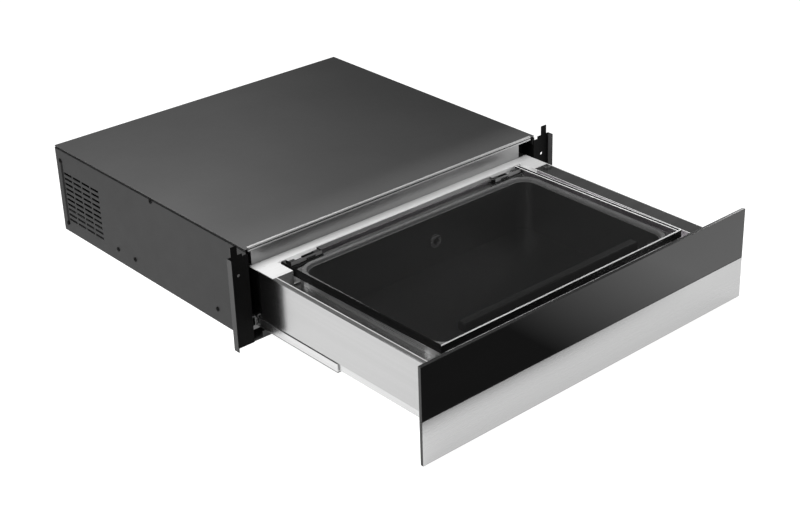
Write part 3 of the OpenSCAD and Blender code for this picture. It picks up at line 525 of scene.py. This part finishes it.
# Painted shade: the seam strips get the black paint.
def paintSeamShadows(shape):
    (y0, y1), (z0, z1) = seamShadows["rear"], seamShadows["shadedGroove"]
    for face in shape.bm.faces:
        x, y, z = face.calc_center_median()
        shadedGroove = z > seamShadows["top"] or y0 < y < y1 and z0 < z < z1
        face.material_index = 1 if shadedGroove and abs(x) > seamShadows["outside"] else 0


# From where out a face that looks sideways has the second finish: the base pan's sides, which stand right
# behind the lowest vents and get black paint there as painted shade, and the outer lips of the brackets,
# which get the housing paint
outerSides = {"pan": 266, "bracket": 290}


def paintSides(shape, start):
    for face in shape.bm.faces:
        out = abs(face.calc_center_median().x) > start
        face.material_index = 1 if abs(face.normal.x) > facing and out else 0


def paintPan(shape):
    paintSides(shape, outerSides["pan"])


def paintBracket(shape):
    paintSides(shape, outerSides["bracket"])


dress("lid_recess", "deck satin", 0.5, 2, paintRecess, ["deck satin", "recess steel", "wall steel",
      "trim aluminium and bead highlight"], cutRecess)
for node in ("side_wall_left", "side_wall_right"):
    dress(node, "side paint", 0.25, 2, paintSeamShadows, ["side paint", "bracket paint"], cutSeamShadows, long)
dress("rear_panel", "side paint", 0.25, among=long)
dress("base_pan", "housing paint", 0.3, 2, paintPan, ["housing paint", "bracket paint"])
for node in ("drawer_side_left", "drawer_side_right"):
    dress(node, "side steel", 0.3, among=long)
for node in ("mid_rail_left", "mid_rail_right"):
    dress(node, "rail steel", 0.4, 2, paintRail, ["rail steel", "oiled steel"])
for node in ("mounting_bracket_left", "mounting_bracket_right"):
    dress(node, "bracket paint", 0.4, 2, paintBracket, ["bracket paint", "housing paint"])
dress("lid_glass", "lid glass", 0.4, 2, paintLid, ["lid glass", "lid edge", "lid black"], cutLid)
dress("lid_frame", "lid black", 0.5, 2, paintFrame, ["lid black", "lid band of painted rim light"])
dress("front_steel", "front steel", 0.5, 2, paintFront, ["front steel", "glass edge"])
dress("front_glass", "black glass", 0.5, 2, paintFront, ["black glass", "glass edge"])
print("stage: CAD nodes dressed")

# Grooved silver trim along the front of the top cover, with painted shade in black in its groove and along
# its lower edge
trim = {"x": (-262, 262), "y": (-238, -234.5), "z": (133.5, 140), "t": 1.2, "shadedGroove": (136.4, 137.6),
        "deep": 0.6, "taper": 0.2, "edge": 0.25, "near": 0.3}


def addTrim(v):
    (x0, x1), (y0, y1), (z0, z1), t = v["x"], v["y"], v["z"], v["t"]
    g0, g1 = v["shadedGroove"]
    bottom, taper, near = y0 + v["deep"], v["taper"], v["near"]
    outline = [(y0, z0), (y0 + t, z0), (y0 + t, z1 - t), (y1, z1 - t), (y1, z1), (y0, z1), (y0, g1),
               (bottom, g1 - taper), (bottom, g0 + taper), (y0, g0)]
    shape = Shape()
    shape.extrude([(x0, y, z) for y, z in outline], (x1 - x0, 0, 0))
    shape.soften(v["edge"])
    shape.bm.normal_update()
    # Painted shade: the groove and a strip along the bottom edge get the black paint.
    for face in shape.bm.faces:
        y, z = face.calc_center_median().yz
        shadedGroove = g0 - near < z < g1 + near and y < y0 + t / 2
        face.material_index = 1 if shadedGroove or z < z0 + near else 0
    shape.done("front_trim_bar", ["trim aluminium and bead highlight", "bracket paint"], "housing", "front_trim")


addTrim(trim)

# Pan head screws with a cross recess
screw = {"r": 3.4, "h": 1.2, "shank": 1.6, "long": 2.4, "arm": 0.52, "slot": 0.16, "deep": 0.7,
         "wall": 268, "rim": 0.85, "dome": 0.3, "sunk": 0.2,
         "places": ((-17, 133.7), (87, 20.5), (42, 20.5), (-163, 20.5), (228.5, 118), (228.5, 14))}


def addHead(shape, v, y, z, side):
    before = set(shape.bm.verts)
    grid = bmesh.ops.create_grid(shape.bm, x_segments=7, y_segments=7, size=1)["verts"]
    lines = (-1, -v["rim"], -v["arm"], -v["slot"], v["slot"], v["arm"], v["rim"], 1)
    for vert in grid:
        a, b = (lines[round((c + 1) * 3.5)] for c in vert.co.xy)
        u, w = a * math.sqrt(1 - b * b / 2), b * math.sqrt(1 - a * a / 2)
        vert.co = (u * v["r"], w * v["r"], v["h"] * (1 - v["dome"] * (u * u + w * w) ** 2))
    faces = {face for vert in grid for face in vert.link_faces}
    arms = [face for face in faces if min(abs(c) for c in face.calc_center_median().xy) < 0.1
            and face.calc_center_median().xy.length < v["arm"] * v["r"]]
    sunk = bmesh.ops.extrude_face_region(shape.bm, geom=arms)["geom"]
    bmesh.ops.delete(shape.bm, geom=arms, context="FACES_ONLY")
    bmesh.ops.translate(shape.bm, vec=(0, 0, -v["deep"]), verts=onlyVerts(sunk))
    rim = [edge for edge in shape.bm.edges if edge.is_boundary]
    skirt = bmesh.ops.extrude_edge_only(shape.bm, edges=rim)["geom"]
    for vert in onlyVerts(skirt):
        vert.co.z = 0
    bmesh.ops.holes_fill(shape.bm, edges=[e for e in shape.bm.edges if e.is_boundary], sides=0)
    shape.rod((0, 0, -v["long"]), (0, 0, v["sunk"]), v["shank"], 16)
    made = [vert for vert in shape.bm.verts if vert not in before]
    turn = Matrix.Rotation(side * math.pi / 2, 4, "Y")
    bmesh.ops.transform(shape.bm, verts=made, matrix=Matrix.Translation((side * v["wall"], y, z)) @ turn)


def addScrews(v):
    shape = Shape()
    for side in (-1, 1):
        for y, z in v["places"]:
            addHead(shape, v, y, z, side)
    shape.done("housing_screw_set", "bracket paint", "housing", "housing_screws")


addScrews(screw)

# Power button, turned
button = {"x": 243.5, "y": -290, "strip": 106, "r": 5, "top": 114.5, "round": 1.4, "dish": 0.3, "stem": 3.3,
          "below": 5.2, "above": 2.3, "ring": (111, 111.2, 111.5, 111.7), "ringDeep": 0.25, "flat": 2.2,
          "sag": 0.05}


def addButton(v):
    r, top, k = v["r"], v["top"], v["round"]
    arc = [(r - k + k * math.cos(a), top - k + k * math.sin(a)) for a in [math.pi / 8 * i for i in range(5)]]
    foot, head, inner = v["strip"] - v["below"], v["strip"] + v["above"], r - v["ringDeep"]
    z0, z1, z2, z3 = v["ring"]
    outline = [(0, foot), (v["stem"], foot), (v["stem"], head), (r, head), (r, z0), (inner, z1), (inner, z2),
               (r, z3)] + arc
    outline += [(r - v["flat"], top - v["sag"]), (0, top - v["dish"])]
    shape = Shape()
    shape.lathe([(v["x"] + a, v["y"], z) for a, z in outline], (v["x"], v["y"], 0), (0, 0, 1))
    shape.done("power_button_cap", "black plastic", "button", "power_button")


addButton(button)

# Torsion springs on the hinge pins
spring = {"x": 203.6, "long": 14, "y": -258.5, "z": 103.9, "r": 3.25, "wire": 0.8, "turns": 7}


def addSprings(v):
    shape = Shape()
    pitch = (v["long"] - 2 * v["wire"]) / v["turns"]
    for x in (-v["x"] + v["wire"], v["x"] - v["long"] + v["wire"]):
        shape.coil((x, v["y"], v["z"] + v["r"]), (x, v["y"], v["z"]), (1, 0, 0), v["wire"], v["turns"], pitch)
    shape.done("hinge_spring_coils", "polished steel", "drawer", "hinge_springs")


addSprings(spring)
print("stage: fittings")

# Floor, world and two flags: one darkens the left of the front glass, one shades the cover's right
stage = {"floor": 0.25, "glow": 0.98, "world": 0.16, "size": 14, "under": 0.0006}
# Lamps: place, aim, size and power
lamps = {"key": ((-0.6, -0.27, 0.95), (-0.15, -0.15, 0), (0.7, 0.7), 22),
         "top": ((0, -0.3, 2.6), (0, -0.3, 0), (2.4, 2.4), 14),
         "fill": ((0.4, -0.52, 0.28), (0.2, -0.24, 0.1), (0.25, 0.15), 1.1),
         "front": ((0.4, -2.8, 1.2), (0, -0.3, 0.1), (1.8, 1.2), 8)}
frontFlag = {"x": (-0.45, 0.52), "y": (-0.9, -0.684), "z": 0.002, "turn": 0, "fade": (0.0, 0.3),
             "from": 0.95, "to": 0.0}
coverFlag = {"x": (-0.35, 0.6), "y": (-0.205, 0.6), "z": 0.2, "turn": -43.4, "fade": (-0.14, 0.34),
             "from": 0.0, "to": 0.8}


def addStage(v):
    data = bpy.data.meshes.new("floor")
    bm = bmesh.new()
    bmesh.ops.create_grid(bm, x_segments=1, y_segments=1, size=v["size"])
    bm.to_mesh(data)
    bm.free()
    obj = bpy.data.objects.new("floor", data)
    obj.location = (0, 0, -v["under"])
    scene.collection.objects.link(obj)
    f = Finish("floor", None, Roughness=0.9, Emission_Strength=v["glow"], Emission_Color=(1, 1, 1, 1))
    tone = f.here.noise(3, 2).limit(0.2, 0.8)
    f.drive(Base_Color=tone.blend(grey(v["floor"] * 0.995), grey(v["floor"])))
    data.materials.append(f.mat)
    world = bpy.data.worlds.new("studio")
    world.use_nodes = True
    world.node_tree.nodes["Background"].inputs[0].default_value = (1, 1, 1, 1)
    world.node_tree.nodes["Background"].inputs[1].default_value = v["world"]
    scene.world = world


def addFlag(name, v, shades):
    data = bpy.data.meshes.new(name)
    spin = Matrix.Rotation(math.radians(v["turn"]), 4, "Z")
    bm = bmesh.new()
    bmesh.ops.create_grid(bm, x_segments=1, y_segments=1, size=0.5)
    for vert in bm.verts:
        vert.co = spin.inverted() @ Vector((v["x"][vert.co.x > 0], v["y"][vert.co.y > 0], v["z"]))
    bm.to_mesh(data)
    bm.free()
    obj = bpy.data.objects.new(name, data)
    scene.collection.objects.link(obj)
    obj.matrix_world = spin
    obj.visible_camera = obj.visible_diffuse = obj.visible_transmission = False
    obj.visible_shadow, obj.visible_glossy = shades, not shades
    f = Finish(name, None, Roughness=0.9, Specular_IOR_Level=0.0)
    weave = f.here.noise(800, 2).limit(0.3, 0.7)
    f.drive(Base_Color=weave.blend(grey(0.002), grey(0.004)))
    f.drive(Alpha=f.here.put("ShaderNodeMapRange", {0: f.here.axis(0), 1: v["fade"][0], 2: v["fade"][1],
                                                    3: v["from"], 4: v["to"]}))
    data.materials.append(f.mat)


def addLamp(name, place, aim, size, power):
    data = bpy.data.lights.new(name, "AREA")
    data.shape, data.size, data.size_y = "RECTANGLE", size[0], size[1]
    data.energy = power
    obj = bpy.data.objects.new(name, data)
    obj.location = place
    obj.rotation_euler = (Vector(aim) - Vector(place)).to_track_quat("-Z", "Y").to_euler()
    obj.visible_camera = False
    scene.collection.objects.link(obj)


addStage(stage)
addFlag("front flag", frontFlag, False)
addFlag("cover flag", coverFlag, True)
for name, values in lamps.items():
    addLamp(name, *values)
print("stage: lights")
